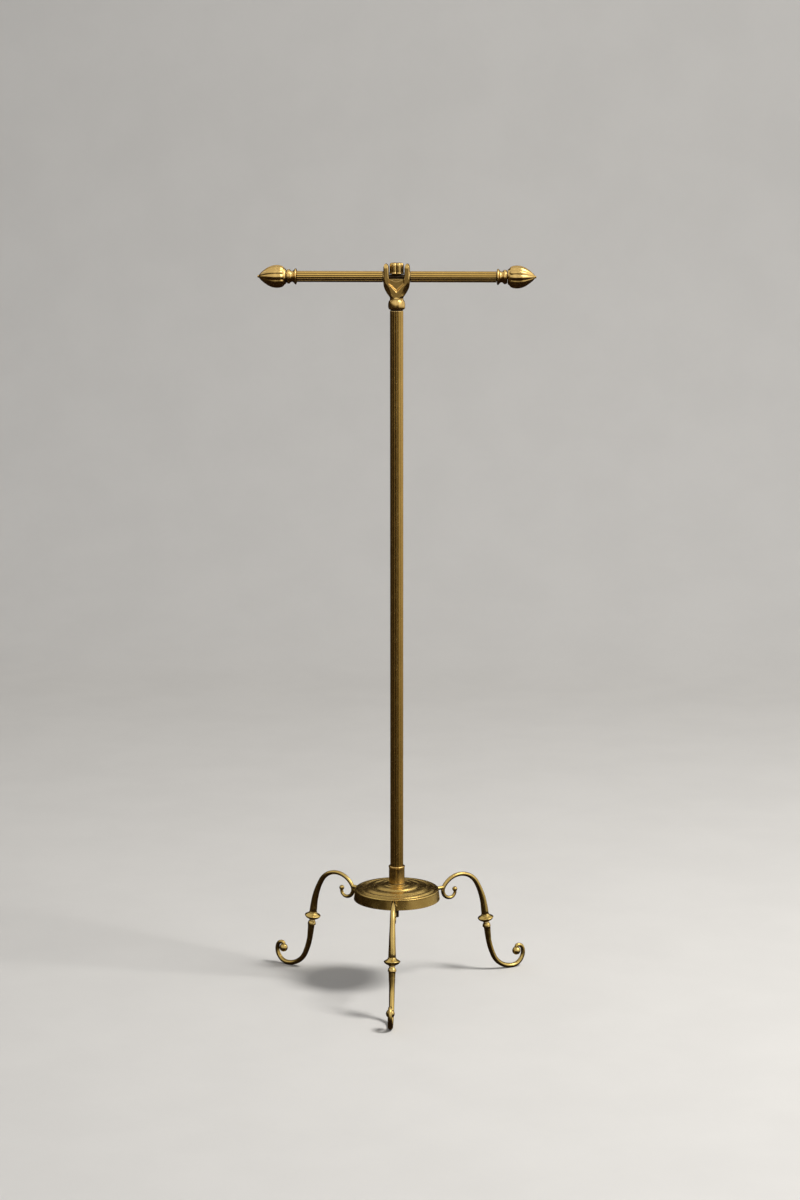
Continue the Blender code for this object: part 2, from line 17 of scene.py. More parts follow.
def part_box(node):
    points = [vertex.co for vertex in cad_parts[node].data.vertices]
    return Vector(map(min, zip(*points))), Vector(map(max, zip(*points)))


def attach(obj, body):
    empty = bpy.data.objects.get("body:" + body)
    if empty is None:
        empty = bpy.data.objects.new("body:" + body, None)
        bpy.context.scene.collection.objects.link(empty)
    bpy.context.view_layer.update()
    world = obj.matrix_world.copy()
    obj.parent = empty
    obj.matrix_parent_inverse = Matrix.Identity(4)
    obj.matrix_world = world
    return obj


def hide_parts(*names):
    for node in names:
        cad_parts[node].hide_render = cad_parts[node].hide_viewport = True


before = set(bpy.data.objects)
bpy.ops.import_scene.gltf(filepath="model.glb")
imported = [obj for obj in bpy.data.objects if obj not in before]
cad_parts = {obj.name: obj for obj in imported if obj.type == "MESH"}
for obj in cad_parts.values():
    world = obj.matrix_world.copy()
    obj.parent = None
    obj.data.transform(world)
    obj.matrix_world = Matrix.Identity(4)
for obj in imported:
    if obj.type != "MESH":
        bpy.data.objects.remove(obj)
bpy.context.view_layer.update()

TAU = 2 * math.pi
SIDES = {"front": -90, "right": 30, "left": 150}
HANDS = {"right": 1, "left": -1}


def low(node):
    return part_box(node)[0]


def high(node):
    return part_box(node)[1]


def middle(node):
    return (low(node) + high(node)) / 2


def half_width(node):
    return (high(node).x - low(node).x) / 2


AXIS = middle("column_tube").xy.to_3d()
BAR = Vector((0, AXIS.y, middle("core_rod").z))
GAP = 0.0003  # between pieces that fit together
TINY = 0.0002  # where a solid profile ends next to the axis
SCREW_BORE = 0.0020 + GAP
TIE_BORE = 0.0032 + GAP
CORE_RADIUS = 0.0033
CORE_BORE = CORE_RADIUS + GAP
UNMOVED = Matrix.Identity(4)


# ---- Curves and meshes


def softened(points, closed=False, segments=5):
    """Outline with rounded corners. A point is (u, v) for a sharp corner, or (u, v, size) for a round one."""
    most = 0.48  # share of a side that one corner may take
    made = []
    for i, point in enumerate(points):
        corner = Vector(point[:2])
        at_end = not closed and i in (0, len(points) - 1)
        if len(point) == 2 or at_end:
            made.append(tuple(corner))
            continue
        before = Vector(points[i - 1][:2]) - corner
        after = Vector(points[(i + 1) % len(points)][:2]) - corner
        start = corner + before.normalized() * min(point[2], before.length * most)
        end = corner + after.normalized() * min(point[2], after.length * most)
        for k in range(segments + 1):
            t = k / segments
            made.append(tuple(start * (1 - t) ** 2 + corner * 2 * t * (1 - t) + end * t * t))
    return made


def flowing(points, per_span=6):
    """Smooth curve through points of any number of values (Catmull-Rom)."""
    ends = [points[0], *points, points[-1]]
    made = []
    for a, b, c, d in zip(ends, ends[1:], ends[2:], ends[3:]):
        for k in range(per_span):
            t = k / per_span
            made.append(tuple(
                0.5 * (2 * q + (r - p) * t + (2 * p - 5 * q + 4 * r - s) * t * t
                       + (3 * q - p - 3 * r + s) * t ** 3)
                for p, q, r, s in zip(a, b, c, d)
            ))
    made.append(tuple(points[-1]))
    return made


def arc(centre, radius, first, last, count):
    """Points on an arc from the first angle to the last, in degrees."""
    angles = [math.radians(first + (last - first) * i / count) for i in range(count + 1)]
    return [(centre[0] + radius * math.cos(a), centre[1] + radius * math.sin(a)) for a in angles]


def eased(keys, at):
    """Value at a place along keys, a list of (place, value), eased between neighbours."""
    if at <= keys[0][0]:
        return keys[0][1]
    for (start, first), (end, last) in zip(keys, keys[1:]):
        if at <= end:
            share = (at - start) / (end - start)
            return first + (last - first) * share * share * (3 - 2 * share)
    return keys[-1][1]


def skin(name, rings, looped=False, sharp=38):
    """Closed mesh over rings of equally many points; looped joins the last ring to the first."""
    count = len(rings[0])
    faces = []
    for k in range(len(rings) if looped else len(rings) - 1):
        a, b = k * count, (k + 1) % len(rings) * count
        for i in range(count):
            j = (i + 1) % count
            faces.append((a + i, a + j, b + j, b + i))
    if not looped:
        faces.append(tuple(range(count)))
        faces.append(tuple(range((len(rings) - 1) * count, len(rings) * count)))
    mesh = bpy.data.meshes.new(name)
    mesh.from_pydata([point for ring in rings for point in ring], [], faces)
    return finished(mesh, sharp)


def finished(mesh, sharp):
    """mesh with its faces turned outwards, smooth but for edges sharper than an angle in degrees."""
    bm = bmesh.new()
    bm.from_mesh(mesh)
    bmesh.ops.recalc_face_normals(bm, faces=bm.faces)
    bm.to_mesh(mesh)
    bm.free()
    mesh.shade_smooth()
    mesh.set_sharp_from_angle(angle=math.radians(sharp))
    return mesh


def circle(radius, height, steps):
    angles = [TAU * i / steps for i in range(steps)]
    return [(radius * math.cos(a), radius * math.sin(a), height) for a in angles]


def turned(name, profile, steps, looped=False, sharp=38):
    """Solid of revolution about Z over a profile; looped when the profile goes round a bore."""
    rings = [circle(radius, height, steps) for radius, height in profile if radius > 0]
    return skin(name, rings, looped, sharp)


def shaped(name, mesh):
    """New object with this mesh, light or camera."""
    obj = bpy.data.objects.new(name, mesh)
    bpy.context.scene.collection.objects.link(obj)
    return obj


def baked(name, obj, sharp=38):
    """Mesh of obj with its modifiers applied; obj goes away."""
    graph = bpy.context.evaluated_depsgraph_get()
    mesh = bpy.data.meshes.new_from_object(obj.evaluated_get(graph))
    mesh.name = name
    bpy.data.objects.remove(obj)
    return finished(mesh, sharp)


def boolean(target, tools, operation):
    """target combined with each tool mesh. A tool is (mesh, matrix)."""
    helpers = []
    for mesh, matrix in tools:
        helper = shaped("helper", mesh)
        helper.matrix_world = matrix
        modifier = target.modifiers.new("Boolean", "BOOLEAN")
        modifier.operation = operation
        modifier.object = helper
        helpers.append(helper)
    bpy.context.view_layer.update()
    mesh = baked(target.name, target)
    for helper in helpers:
        bpy.data.objects.remove(helper)
    return mesh


def facing(direction):
    """Rotation that turns +Z to a direction."""
    return Vector(direction).to_track_quat("Z", "Y").to_matrix().to_4x4()


def moved(mesh, matrix):
    """Copy of a mesh with its points moved, so that its own box stays square to the world."""
    copy = mesh.copy()
    copy.transform(matrix)
    return copy


def add(node, mesh, material, body, matrix=UNMOVED):
    """Shows a mesh in place of a CAD node, riding on the node's body."""
    piece = shaped(node + "_fine", mesh)
    if not mesh.materials:
        mesh.materials.append(material)
    piece.matrix_world = matrix
    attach(piece, body)
    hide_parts(node)


def at(x, y, z):
    return Matrix.Translation((x, y, z))


ON_AXIS = at(AXIS.x, AXIS.y, 0)
ON_BAR = Matrix.Translation(BAR)


# ---- Materials


class Tree:
    """Short way to build a node tree."""

    def __init__(self, tree):
        self.tree = tree

    def add(self, kind, **values):
        """New node, with its input values and its settings by name."""
        node = self.tree.nodes.new("ShaderNode" + kind)
        for key, value in values.items():
            if key in node.inputs:
                node.inputs[key].default_value = value
            else:
                setattr(node, key, value)
        return node

    def link(self, start, end):
        self.tree.links.new(start, end)

    def feed(self, socket, value):
        """Links an output to an input, or gives the input a plain value."""
        if isinstance(value, bpy.types.NodeSocket):
            self.link(value, socket)
        else:
            socket.default_value = value

    def math(self, operation, a, b, clamp=False):
        node = self.add("Math", operation=operation, use_clamp=clamp)
        self.feed(node.inputs[0], a)
        self.feed(node.inputs[1], b)
        return node.outputs[0]

    def spread(self, value, start, end, first=0.0, last=1.0):
        """value mapped from start..end to first..last, clamped and smooth."""
        node = self.add("MapRange", interpolation_type="SMOOTHSTEP")
        for key, item in (("From Min", start), ("From Max", end), ("To Min", first), ("To Max", last)):
            node.inputs[key].default_value = item
        self.link(value, node.inputs["Value"])
        return node.outputs["Result"]

    def noise(self, scale, stretch=(1, 1, 1), detail=4.0, roughness=0.55, shift=0.0):
        """Noise of about scale bumps per metre in the piece's own frame, times stretch along each axis."""
        place = self.add("TexCoord")
        mapping = self.add("Mapping", Scale=[scale * s for s in stretch], Location=(shift, shift, shift))
        self.link(place.outputs["Object"], mapping.inputs["Vector"])
        texture = self.add("TexNoise", Scale=1.0, Detail=detail, Roughness=roughness)
        self.link(mapping.outputs["Vector"], texture.inputs["Vector"])
        return texture.outputs["Fac"]

    def mix(self, share, first, second):
        """Colour between two colours, each a plain one or an output."""
        node = self.add("Mix", data_type="RGBA")
        self.link(share, node.inputs["Factor"])
        colour_inputs = node.inputs[6], node.inputs[7]
        for socket, value in zip(colour_inputs, (first, second)):
            self.feed(socket, value if isinstance(value, bpy.types.NodeSocket) else (*value, 1))
        return node.outputs[2]


class Nodes(Tree):
    """A new material and its node tree."""

    def __init__(self, name):
        self.material = bpy.data.materials.new(name)
        self.material.use_nodes = True
        super().__init__(self.material.node_tree)
        self.shader = self.tree.nodes["Principled BSDF"]


POLISHED = (0.64, 0.46, 0.185)
WORN_AND_HIGHLIGHT = (0.88, 0.75, 0.50)  # on edges: rubbed wear, and partly a painted highlight
AGED = (0.30, 0.19, 0.058)
PATINA_AND_SHADE = (0.050, 0.026, 0.010)  # painted shade in hollows, grooves and where parts meet, together with the patina there and in faint random flecks


def brass(name, grain, grain_depth, polished=POLISHED, aged=AGED, age=0.4, roughness=0.20,
          turned_grain=0.0):
    """Antique brass: lightened on its ridges by rubbed wear and a painted highlight, brown in its hollows and
    grooves and where parts meet by patina and painted shade, with a grain left by its making.

    grain is how finely the surface lines repeat along local X, Y and Z, per metre. age is how far the aged
    colour covers the polished one in its clouds. turned_grain stretches the highlights across the lines that
    a lathe leaves round Z.
    """
    n = Nodes(name)
    # Painted shade: where ambient occlusion finds hollows, grooves and parts meeting, the colour is darkened
    # towards the patina-and-shade brown.
    cavity = n.add("AmbientOcclusion", Distance=0.006, samples=8)
    hollow = n.spread(cavity.outputs["AO"], 0.85, 0.30)
    tight = n.add("AmbientOcclusion", Distance=0.0012, samples=8)
    groove_shade = n.spread(tight.outputs["AO"], 0.93, 0.50)
    cloud = n.spread(n.noise(24, detail=5, roughness=0.55), 0.35, 0.66)
    fleck = n.spread(n.noise(700, detail=3, roughness=0.7, shift=3.1), 0.60, 0.78)
    geometry = n.add("NewGeometry")
    # Painted highlight with wear: pointy edges are lightened towards the worn, highlight colour.
    edge = n.spread(geometry.outputs["Pointiness"], 0.51, 0.57)
    colour = n.mix(n.math("MULTIPLY", cloud, age), polished, aged)
    # dark: the larger of the painted shade from the two occlusion masks and the faint random patina flecks.
    dark = n.math("ADD", n.math("MULTIPLY", hollow, 0.70), n.math("MULTIPLY", groove_shade, 0.80), clamp=True)
    dark = n.math("MAXIMUM", dark, n.math("MULTIPLY", fleck, 0.08))
    colour = n.mix(dark, colour, PATINA_AND_SHADE)
    colour = n.mix(n.math("MULTIPLY", edge, 0.5), colour, WORN_AND_HIGHLIGHT)
    n.link(colour, n.shader.inputs["Base Color"])
    n.shader.inputs["Metallic"].default_value = 1

    handled = n.noise(90, detail=4, roughness=0.55, shift=7.7)
    smear = n.spread(handled, 0.3, 0.7, roughness - 0.03, roughness + 0.06)
    n.link(n.math("ADD", smear, n.math("MULTIPLY", dark, 0.10)), n.shader.inputs["Roughness"])
    if turned_grain:
        tangent = n.add("Tangent", direction_type="RADIAL", axis="Z")
        n.link(tangent.outputs[0], n.shader.inputs["Tangent"])
        n.shader.inputs["Anisotropic"].default_value = turned_grain

    lines = n.noise(1.0, grain, detail=3, roughness=0.6)
    dents = n.noise(260, detail=2, roughness=0.5, shift=1.7)
    relief = n.math("ADD", lines, n.math("MULTIPLY", dents, 0.4))
    bump = n.add("Bump", Strength=0.35, Distance=grain_depth)
    n.link(relief, bump.inputs["Height"])
    n.link(bump.outputs["Normal"], n.shader.inputs["Normal"])
    return n.material


def dark_steel():
    """Blackened steel of the fasteners and the core, mottled and dull."""
    n = Nodes("dark_steel")
    cloud = n.spread(n.noise(260, detail=5), 0.35, 0.7)
    n.link(n.mix(cloud, (0.10, 0.075, 0.055), (0.035, 0.023, 0.015)), n.shader.inputs["Base Color"])
    n.shader.inputs["Metallic"].default_value = 1
    n.link(n.spread(n.noise(500, shift=2.0), 0.3, 0.7, 0.38, 0.6), n.shader.inputs["Roughness"])
    bump = n.add("Bump", Strength=0.4, Distance=0.00003)
    n.link(n.noise(1800, detail=2), bump.inputs["Height"])
    n.link(bump.outputs["Normal"], n.shader.inputs["Normal"])
    return n.material


TURNED = brass("brass_turned", (150, 150, 5200), 0.000012, turned_grain=0.25)
DRAWN = brass("brass_drawn", (2600, 2600, 30), 0.000005, polished=(0.62, 0.42, 0.135),
              aged=(0.36, 0.23, 0.065), age=0.25, roughness=0.15)
CAST = brass("brass_cast", (420, 420, 420), 0.000008)
LEG = brass("brass_leg", (420, 420, 420), 0.000010, polished=(0.52, 0.40, 0.15), aged=(0.30, 0.20, 0.060))
PLATE = brass("brass_plate", (120, 120, 900), 0.000003, polished=(0.46, 0.34, 0.12),
              aged=(0.25, 0.16, 0.050), age=0.6, roughness=0.24, turned_grain=0.3)
STEEL = dark_steel()


# ---- Base


def disc_profile():
    """Section of the disc: stepped dome with turned lines, rolled rim, skirt, and the hollow below."""
    rim = high("base_disc").z - 0.0085
    bottom = low("base_disc").z
    radius = half_width("base_disc")
    rises = flowing([
        (0.0150, 0.0078), (0.0185, 0.0075), (0.0205, 0.0067), (0.0222, 0.0071), (0.0262, 0.0066),
        (0.0296, 0.0057), (0.0308, 0.0046), (0.0322, 0.0036), (0.0340, 0.0038), (0.0358, 0.0045),
        (0.0400, 0.0041), (0.0440, 0.0033), (0.0460, 0.0022), (0.0474, 0.0013), (0.0490, 0.0016),
        (0.0506, 0.0022), (0.0535, 0.0018), (0.0550, 0.0008), (0.0562, -0.0003), (0.0574, 0.0001),
    ], 8)
    top = [(TIE_BORE, 0.0085), (0.0136, 0.0085, 0.0006), (0.0142, 0.0080, 0.0004)] + scored(rises)
    top += [(0.0588, 0.0004, 0.0009), (0.0606, 0.0002, 0.0010), (0.0620, -0.0009, 0.0010)]
    outer = [(point[0], rim + point[1], *point[2:]) for point in top]
    skirt = [
        (0.0619, rim - 0.0020, 0.0008), (radius - 0.0002, bottom + 0.0012, 0.0006),
        (radius, bottom, 0.0004), (radius - 0.003, bottom, 0.0004),
    ]
    ceiling = [
        (0.0590, rim - 0.0035, 0.002), (0.0450, rim - 0.0014), (0.0260, rim + 0.0028),
        (0.0125, rim + 0.0047, 0.001), (TIE_BORE, rim + 0.0047),
    ]
    return softened(outer + skirt + ceiling, closed=True)


def scored(curve, every=16, size=0.0002):
    """A curve with a fine turned line at every so many points."""
    made = []
    for i, (radius, height) in enumerate(curve):
        if i % every == every // 2:
            made += [(radius - size, height), (radius, height - size), (radius + size, height)]
        else:
            made.append((radius, height))
    return made


def plain_ring(node, bore, rounding, base=0.0):
    """Plug or washer over its node's box, with a straight bore. base is the height its own Z starts from."""
    bottom, top, radius = low(node).z - base, high(node).z - base, half_width(node)
    profile = [(radius, bottom, rounding), (bore, bottom), (bore, top), (radius, top, rounding)]
    return turned(node, softened(profile, True), 64, True)


def disc_mesh():
    """Disc with a hole through its skirt for each leg's screw."""
    disc = shaped("base_disc", turned("base_disc", disc_profile(), 256, looped=True))
    drill = turned("skirt_hole", [(SCREW_BORE, 0.050), (SCREW_BORE, 0.080)], 32)
    outwards = at(0, 0, LUG_HEIGHT) @ facing((1, 0, 0))
    drills = [(drill, Matrix.Rotation(math.radians(turn), 4, "Z") @ outwards) for turn in SIDES.values()]
    return finished(boolean(disc, drills, "DIFFERENCE"), 50)


def collar_mesh():
    """Sleeve that the column stands in, with a floor and a rolled rim."""
    floor, top = low("base_collar").z, high("base_collar").z
    widest = half_width("base_collar")
    body, bore = widest - 0.0006, 0.0099
    collar = [
        (body + 0.0002, floor, 0.0003), (TIE_BORE, floor), (TIE_BORE, floor + 0.002), (bore, floor + 0.002),
        (bore, top - 0.0002, 0.0003), (bore + 0.0008, top, 0.0006), (widest, top - 0.0006, 0.0010),
        (widest, top - 0.0022, 0.0008), (body, top - 0.0028, 0.0004), (body, floor + 0.0010, 0.0003),
    ]
    return turned("base_collar", softened(collar, True), 128, True)


def build_base():
    add("base_disc", disc_mesh(), PLATE, "stand", matrix=ON_AXIS)
    add("base_collar", collar_mesh(), TURNED, "stand", matrix=ON_AXIS)
    steel = {
        "column_foot_plug": plain_ring("column_foot_plug", TIE_BORE, 0.0006),
        "tie_washer": plain_ring("tie_washer", TIE_BORE, 0.0003),
        "tie_nut": hex_nut(),
        "tie_rod": threaded_rod(),
    }
    for node, mesh in steel.items():
        add(node, mesh, STEEL, "stand", ON_AXIS)


def hex_nut(steps=96, bore=TIE_BORE):
    """Nut with flats, chamfered at both ends."""
    bottom, top = low("tie_nut").z, high("tie_nut").z
    flat = half_width("tie_nut")
    chamfer = 0.0007

    def outside(height, limit):
        ring = []
        for i in range(steps):
            angle = TAU * i / steps
            within = (angle + math.pi / 6) % (math.pi / 3) - math.pi / 6
            reach = min(flat / math.cos(within), limit)
            ring.append((reach * math.cos(angle), reach * math.sin(angle), height))
        return ring

    tight, wide = flat * 1.01, flat * 1.2
    rings = [outside(bottom, tight), outside(bottom + chamfer, wide)]
    rings += [outside(top - chamfer, wide), outside(top, tight)]
    rings += [circle(bore + 0.0004, top, steps), circle(bore, top - 0.0004, steps)]
    rings += [circle(bore, bottom + 0.0004, steps), circle(bore + 0.0004, bottom, steps)]
    return skin("tie_nut", rings, looped=True)


def threaded_rod(steps=40, pitch=0.001, depth=0.00045, per_turn=8):
    """Tie rod with a thread cut along its lower end, running out over one turn at each side."""
    radius = half_width("tie_rod")
    bottom, top = low("tie_rod").z, high("tie_rod").z
    threaded_to = low("tie_nut").z + 0.009
    count = round((threaded_to - bottom) / pitch * per_turn)
    rings = []
    for k in range(count + 1):
        height = bottom + (threaded_to - bottom) * k / count
        cut = min(1.0, k / per_turn, (count - k) / per_turn)
        ring = []
        for i in range(steps):
            angle = TAU * i / steps
            phase = (height / pitch - i / steps) % 1.0
            valley = 1 - abs(2 * phase - 1)
            reach = radius - depth * (valley * cut + 0.9 * max(0.0, 1 - k / 6))
            ring.append((reach * math.cos(angle), reach * math.sin(angle), height))
        rings.append(ring)
    rings += [circle(radius, top - 0.0006, steps), circle(radius - 0.0006, top, steps)]
    return skin("tie_rod", rings, sharp=60)


# ---- Scroll legs. In a leg's own frame X points away from the column and Z up.

LEG_TILT = math.radians(8)
KNOP = Vector((AXIS.y - middle("leg_knop_front").y, 0, middle("leg_knop_front").z))
KNOP_HALF = 0.0061
SPIGOT = 0.0025
SPIGOT_BORE = SPIGOT + GAP
LUG_HEIGHT = middle("leg_screw_front").z


def leg_frame(side):
    """Where a leg's own frame stands at rest."""
    return ON_AXIS @ Matrix.Rotation(math.radians(SIDES[side]), 4, "Z")


def chain(start, heading, pieces, step=math.radians(4)):
    """Samples (x, z, heading, travelled) along straights (length,) and left-hand arcs (radius, degrees)."""
    x, z = start
    travelled = 0.0
    samples = [(x, z, heading, travelled)]
    for piece in pieces:
        if len(piece) == 1:
            x += piece[0] * math.cos(heading)
            z += piece[0] * math.sin(heading)
            travelled += piece[0]
            samples.append((x, z, heading, travelled))
            continue
        radius, turn = piece[0], math.radians(piece[1])
        centre = (x - radius * math.sin(heading), z + radius * math.cos(heading))
        count = max(3, round(turn / step))
        for i in range(1, count + 1):
            now = heading + turn * i / count
            x, z = centre[0] + radius * math.sin(now), centre[1] - radius * math.cos(now)
            samples.append((x, z, now, travelled + radius * turn * i / count))
        heading += turn
        travelled += radius * turn
    return samples


def leg_ring(x, z, heading, radius, outward=0.0, sides=40):
    """Round section of a leg's rod at a place on its path, shifted outward from it."""
    across = Vector((-math.sin(heading), 0, math.cos(heading)))
    centre = Vector((x + outward, 0, z))
    angles = [TAU * (i + 0.5) / sides for i in range(sides)]
    return [centre + radius * (math.cos(a) * across + Vector((0, math.sin(a), 0))) for a in angles]


def ball_rings(sample, rod_radius, ball_radius, count=16):
    """Rings of a ball that swallows the end of a rod."""
    x, z, heading, _ = sample
    first, last = math.asin(rod_radius / ball_radius), math.radians(177)
    rings = []
    for i in range(1, count + 1):
        angle = first + (last - first) * i / count
        along = ball_radius * (math.cos(first) - math.cos(angle))
        place = (x + along * math.cos(heading), z + along * math.sin(heading))
        rings.append(leg_ring(*place, heading, ball_radius * math.sin(angle)))
    return rings


def arm_mesh():
    """Upper scroll: spigot, swelling shank, arch, curl and small ball, with the lug that meets the disc."""
    reach, spigot = KNOP_HALF + GAP, 0.0145
    up = math.pi / 2 + LEG_TILT
    start = (KNOP.x - spigot * math.cos(up), KNOP.z - spigot * math.sin(up))
    shank = [(0.0008,), (0.0047,), (0.0060,), (0.110, 22)]
    curl = [(0.032, 120), (0.012, 120), (0.0085, 95)]
    samples = chain(start, up, [(spigot + reach,)] + shank + curl)
    shoulder, last = spigot + reach, samples[-1][3]
    thickness = [
        (shoulder, 0.0050), (shoulder + 0.0008, 0.0055), (shoulder + 0.0055, 0.0054),
        (shoulder + 0.020, 0.0048), (shoulder + 0.050, 0.0039), (shoulder + 0.085, 0.0031),
        (last - 0.030, 0.0029), (last, 0.0023),
    ]
    rings = [leg_ring(*samples[0][:3], SPIGOT - 0.0003), leg_ring(*samples[0][:3], SPIGOT)]
    rings += [leg_ring(*samples[1][:3], SPIGOT)]
    for x, z, heading, travelled in samples[1:]:
        rings.append(leg_ring(x, z, heading, eased(thickness, travelled)))
    rings += ball_rings(samples[-1], thickness[-1][1], 0.0038)
    arm = shaped("leg_arm", skin("leg_arm", rings))

    disc_edge, lug_end = half_width("base_disc") + GAP, 0.0790
    lug = softened([
        (TINY, disc_edge), (0.0038, disc_edge, 0.0003), (0.0038, disc_edge + 0.0007, 0.0004),
        (0.0030, disc_edge + 0.0014, 0.0005), (0.0029, disc_edge + 0.0080, 0.001), (0.0029, lug_end),
        (TINY, lug_end),
    ])
    outwards = at(0, 0, LUG_HEIGHT) @ facing((1, 0, 0))
    mesh = boolean(arm, [(turned("lug", lug, 48), outwards)], "UNION")
    bore = turned("bore", [(SCREW_BORE, 0.050), (SCREW_BORE, 0.0745)], 24)
    return boolean(shaped("leg_arm", mesh), [(bore, outwards)], "DIFFERENCE")


def foot_mesh():
    """Lower scroll: bored top, bell-shaped bead, tapering sweep, turned-up toe and ball, with a flat foot."""
    down = -math.pi / 2 + LEG_TILT
    rod_radius = 0.0035
    bottom = rod_radius - 0.0004
    shin, heel, toe = (0.1187, 17), (0.0361, 65), [(0.0190, 108), (0.0080, 72), (0.0030, 90)]
    bend = down + math.radians(shin[1])
    drop = shin[0] * (math.cos(bend) - math.cos(down)) + heel[0] * (1 - math.cos(bend))
    straight = (KNOP.z - bottom - drop) / math.sin(-down)
    top = KNOP_HALF + GAP
    start = (KNOP.x + top * math.cos(down), KNOP.z + top * math.sin(down))
    # Each ring of the bead: how far on it is, its radius, and how far outward it sits.
    bead = [
        (0.0006, 0.0043, 0), (0.0012, 0.0043, 0), (0.0006, 0.0045, 0), (0.0009, 0.0053, 0),
        (0.0011, 0.0058, 0), (0.0014, 0.0060, 0), (0.0011, 0.0062, 0), (0.0004, 0.0062, 0),
        (0.0003, 0.0058, 0.0001), (0.0004, 0.0052, 0.0005),
    ]
    used = sum(length for length, _, _ in bead)
    neck_pieces = 6
    pieces = [(length,) for length, _, _ in bead]
    pieces += [((straight - top - used) / neck_pieces,)] * neck_pieces + [shin, heel] + toe
    samples = chain(start, down, pieces)
    last = samples[-1][3]
    flat_at = straight - top + sum(radius * math.radians(turn) for radius, turn in (shin, heel))
    thickness = [(used, 0.0051), (0.016, 0.0047), (0.030, 0.0041), (flat_at, rod_radius), (last, 0.0030)]
    shift = [(used, 0.0006), (0.020, 0.0004), (0.034, 0)]
    depth = 0.0088
    inner = (start[0] + depth * math.cos(down), start[1] + depth * math.sin(down), down)
    rings = [leg_ring(*inner, SPIGOT_BORE), leg_ring(*start, down, SPIGOT_BORE)]
    rings.append(leg_ring(*start, down, 0.0040))
    for (x, z, heading, _), (_, radius, outward) in zip(samples[1:], bead):
        rings.append(leg_ring(x, z, heading, radius, outward))
    for x, z, heading, travelled in samples[len(bead) + 1:]:
        rings.append(leg_ring(x, z, heading, eased(thickness, travelled), eased(shift, travelled)))
    rings += ball_rings(samples[-1], thickness[-1][1], 0.0063)
    rings = [[(p[0], p[1], max(p[2], 0.0)) for p in ring] for ring in rings]
    return skin("leg_foot", rings, sharp=45)


def knop_mesh():
    """Lens-shaped knop with a sharp rim and a bead at each end, bored for the arm's spigot."""
    half, radius = KNOP_HALF, 0.0120
    profile = [
        (SPIGOT_BORE, half), (0.0057, half, 0.0003), (0.0064, 0.0054, 0.0007), (0.0063, 0.0044, 0.0004),
        (0.0072, 0.0036, 0.0008), (0.0098, 0.0021, 0.0012), (radius - 0.0003, 0.0010, 0.0006),
        (radius, 0.0001, 0.0005), (radius - 0.0006, -0.0009, 0.0006), (0.0098, -0.0029, 0.0015),
        (0.0070, -0.0044, 0.0012), (0.0052, -0.0051, 0.0005), (0.0048, -half, 0.0003), (SPIGOT_BORE, -half),
    ]
    return turned("leg_knop", softened(profile, True), 96, looped=True, sharp=45)


def leg_screw_mesh():
    """Slotted pan-head screw along Z."""
    seat, end = 0.0584, 0.0738
    profile = [
        (TINY, seat - 0.0024), (0.0024, seat - 0.0023, 0.0010), (0.0034, seat - 0.0014, 0.0009),
        (0.0036, seat, 0.0002), (0.0020, seat), (0.0020, end - 0.0004), (0.0016, end), (TINY, end),
    ]
    screw = shaped("leg_screw", turned("leg_screw", softened(profile), 48))
    long, wide = 0.004, 0.0004
    slot = [[(-long, -wide, z), (long, -wide, z), (long, wide, z), (-long, wide, z)]
            for z in (seat - 0.0030, seat - 0.0014)]
    return boolean(screw, [(skin("slot", slot), UNMOVED)], "DIFFERENCE")


def build_legs():
    arm, foot, knop, screw = arm_mesh(), foot_mesh(), knop_mesh(), leg_screw_mesh()
    tilt = Matrix.Translation(KNOP) @ Matrix.Rotation(-LEG_TILT, 4, "Y")
    for side in SIDES:
        place = leg_frame(side)
        add(f"leg_arm_{side}", moved(arm, place), LEG, "stand")
        add(f"leg_foot_{side}", moved(foot, place), LEG, "stand")
        add(f"leg_knop_{side}", moved(knop, place @ tilt), LEG, "stand")
        outwards = place @ at(0, 0, LUG_HEIGHT) @ facing((1, 0, 0))
        add(f"leg_screw_{side}", moved(screw, outwards), STEEL, "stand")


# ---- Reeded tubes


def reeded_tube(name, radius, reeds, bottom, top, bore, depth=0.00038, cut=0.00085, per_reed=24):
    """Tube whose outside is drawn into flat-backed reeds, with a narrow V cut between each two.

    The rings close to its ends keep the worn-edge colour and painted highlight, which is per point, from
    spreading along it.
    """
    flat = 0.72  # share of a reed before the V starts
    steps = reeds * per_reed
    half = radius * math.pi / reeds
    round_radius = (half ** 2 + depth ** 2) / (2 * depth)
    angles = [TAU * i / steps for i in range(steps)]

    def outside(height, less=0.0):
        ring = []
        for a in angles:
            off = ((a * reeds / TAU + 0.5) % 1.0 - 0.5) * 2 * half
            reach = radius - less - round_radius + math.sqrt(round_radius ** 2 - off ** 2)
            reach -= cut * max(0.0, abs(off) / half - flat) / (1 - flat)
            ring.append((reach * math.cos(a), reach * math.sin(a), height))
        return ring

    length = top - bottom
    edge, bore_edge, ends = 0.0003, 0.0002, (0.0003, 0.0010, 0.0020)
    rings = [outside(bottom, edge)] + [outside(bottom + away) for away in ends]
    rings += [outside(bottom + length * share) for share in (0.25, 0.5, 0.75)]
    rings += [outside(top - away) for away in reversed(ends)] + [outside(top, edge)]
    rings += [circle(bore + bore_edge, top, steps), circle(bore, top - edge, steps)]
    rings += [circle(bore, bottom + edge, steps), circle(bore + bore_edge, bottom, steps)]
    return skin(name, rings, looped=True, sharp=50)


